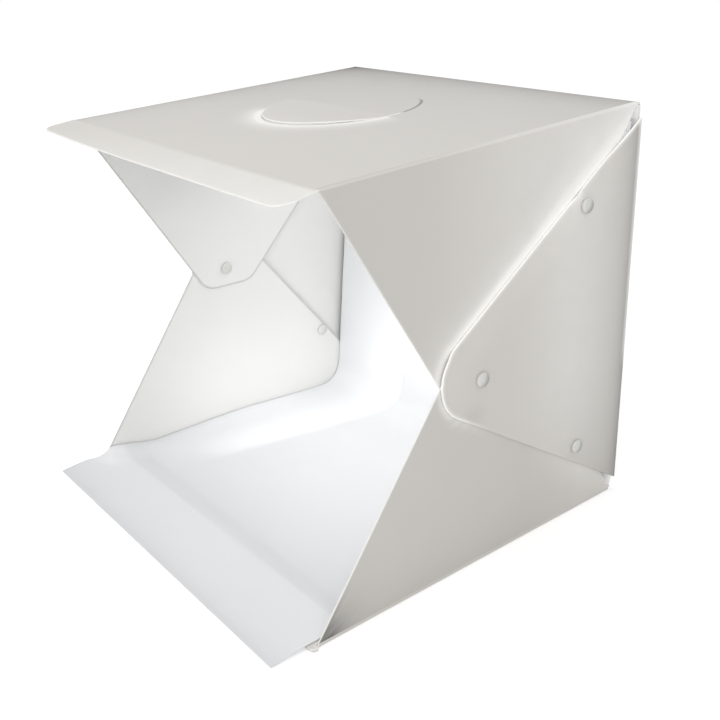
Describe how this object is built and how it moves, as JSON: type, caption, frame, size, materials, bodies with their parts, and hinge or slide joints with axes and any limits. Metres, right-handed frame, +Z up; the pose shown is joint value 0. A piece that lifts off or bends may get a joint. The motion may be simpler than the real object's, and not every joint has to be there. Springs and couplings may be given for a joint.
{
  "type": "folding light tent",
  "caption": "Folding tabletop light tent of white creased sheet, open at the front, with a swept backdrop, stud-fastened side flaps, a top viewing port and light strips.",
  "frame": {"origin": "middle of the base panel's underside", "axes": "+Z up, the open front faces -Y, +X to the right when seen from the front"},
  "size_m": [0.252, 0.2532, 0.2344],
  "materials": {
    "white_sheet": "translucent white sheet, satin outside, with paler creases and cut edges",
    "backdrop": "smooth matt white sheet",
    "snap_plastic": "white moulded plastic, soft gloss",
    "hook_pad": "white stiff hooks",
    "loop_pad": "white soft loops",
    "foam_tape": "white foam",
    "lamp_board": "white lacquered board with pale yellow lamps",
    "inlet_metal": "bright plated sheet",
    "inlet_black": "black moulding"
  },
  "bodies": {
    "shell": {"base_panel": "white_sheet", "base_front_lip": "white_sheet", "back_panel": "white_sheet", "backdrop_sheet": "backdrop", "left_hook_pad": "hook_pad", "right_hook_pad": "hook_pad", "left_loop_pad": "loop_pad", "right_loop_pad": "loop_pad"},
    "top": {"top_panel": "white_sheet", "front_light_strip_tape": "foam_tape", "front_light_strip_board": "lamp_board", "front_inlet_shell": "inlet_metal", "front_inlet_tongue": "inlet_black", "rear_light_strip_tape": "foam_tape", "rear_light_strip_board": "lamp_board", "rear_inlet_shell": "inlet_metal", "rear_inlet_tongue": "inlet_black"},
    "front_lip": {"top_front_lip": "white_sheet"},
    "cover": {"port_cover": "white_sheet"},
    "right_top_side": {"right_top_flap": "white_sheet", "right_top_flap_centre_cap": "snap_plastic", "right_top_flap_centre_stud": "snap_plastic", "right_top_flap_upper_cap": "snap_plastic", "right_top_flap_upper_stud": "snap_plastic"},
    "right_bottom_side": {"right_bottom_flap": "white_sheet", "right_bottom_flap_lower_cap": "snap_plastic", "right_bottom_flap_lower_stud": "snap_plastic"},
    "right_back_side": {"right_back_flap": "white_sheet", "right_back_flap_centre_cap": "snap_plastic", "right_back_flap_centre_socket": "snap_plastic", "right_back_flap_upper_cap": "snap_plastic", "right_back_flap_upper_socket": "snap_plastic", "right_back_flap_lower_cap": "snap_plastic", "right_back_flap_lower_socket": "snap_plastic"},
    "left_top_side": {"left_top_flap": "white_sheet", "left_top_flap_centre_cap": "snap_plastic", "left_top_flap_centre_stud": "snap_plastic", "left_top_flap_upper_cap": "snap_plastic", "left_top_flap_upper_stud": "snap_plastic"},
    "left_bottom_side": {"left_bottom_flap": "white_sheet", "left_bottom_flap_lower_cap": "snap_plastic", "left_bottom_flap_lower_stud": "snap_plastic"},
    "left_back_side": {"left_back_flap": "white_sheet", "left_back_flap_centre_cap": "snap_plastic", "left_back_flap_centre_socket": "snap_plastic", "left_back_flap_upper_cap": "snap_plastic", "left_back_flap_upper_socket": "snap_plastic", "left_back_flap_lower_cap": "snap_plastic", "left_back_flap_lower_socket": "snap_plastic"}
  },
  "joints": [
    {"name": "top_fold", "type": "hinge", "parent": "shell", "child": "top", "pos_m": [0, 0.10845, 0.23348], "axis": [-1, 0, 0], "range_deg": [0, 90]},
    {"name": "front_lip_fold", "type": "hinge", "parent": "top", "child": "front_lip", "pos_m": [0, -0.10138, 0.22282], "axis": [1, 0, 0], "range_deg": [-15, 80]},
    {"name": "port_cover_fold", "type": "hinge", "parent": "top", "child": "cover", "pos_m": [-0.005, 0.00783, 0.22925], "axis": [-1, 0, 0], "range_deg": [0, 120]},
    {"name": "right_back_flap_fold", "type": "hinge", "parent": "shell", "child": "right_back_side", "pos_m": [0.1212, 0.11305, 0.00108], "axis": [0, -0.0239, 0.9997], "range_deg": [0, 120]},
    {"name": "right_bottom_flap_fold", "type": "hinge", "parent": "shell", "child": "right_bottom_side", "pos_m": [0.1201, 0, 0.00095], "axis": [0, 1, 0], "range_deg": [0, 76.5]},
    {"name": "right_top_flap_fold", "type": "hinge", "parent": "top", "child": "right_top_side", "pos_m": [0.11805, 0.10849, 0.23364], "axis": [0, 0.9987, 0.0515], "range_deg": [0, 64.8]},
    {"name": "left_back_flap_fold", "type": "hinge", "parent": "shell", "child": "left_back_side", "pos_m": [-0.1212, 0.11305, 0.00108], "axis": [0, 0.0239, -0.9997], "range_deg": [0, 120]},
    {"name": "left_bottom_flap_fold", "type": "hinge", "parent": "shell", "child": "left_bottom_side", "pos_m": [-0.1201, 0, 0.00095], "axis": [0, -1, 0], "range_deg": [0, 76.5]},
    {"name": "left_top_flap_fold", "type": "hinge", "parent": "top", "child": "left_top_side", "pos_m": [-0.11805, 0.10849, 0.23364], "axis": [0, -0.9987, -0.0515], "range_deg": [0, 64.8]}
  ],
  "couplings": [
    {"joint": "right_back_flap_fold", "follows": "top_fold", "ratio": 1.3333},
    {"joint": "right_bottom_flap_fold", "follows": "top_fold", "ratio": 0.85},
    {"joint": "right_top_flap_fold", "follows": "top_fold", "ratio": 0.72},
    {"joint": "left_back_flap_fold", "follows": "top_fold", "ratio": 1.3333},
    {"joint": "left_bottom_flap_fold", "follows": "top_fold", "ratio": 0.85},
    {"joint": "left_top_flap_fold", "follows": "top_fold", "ratio": 0.72}
  ]
}
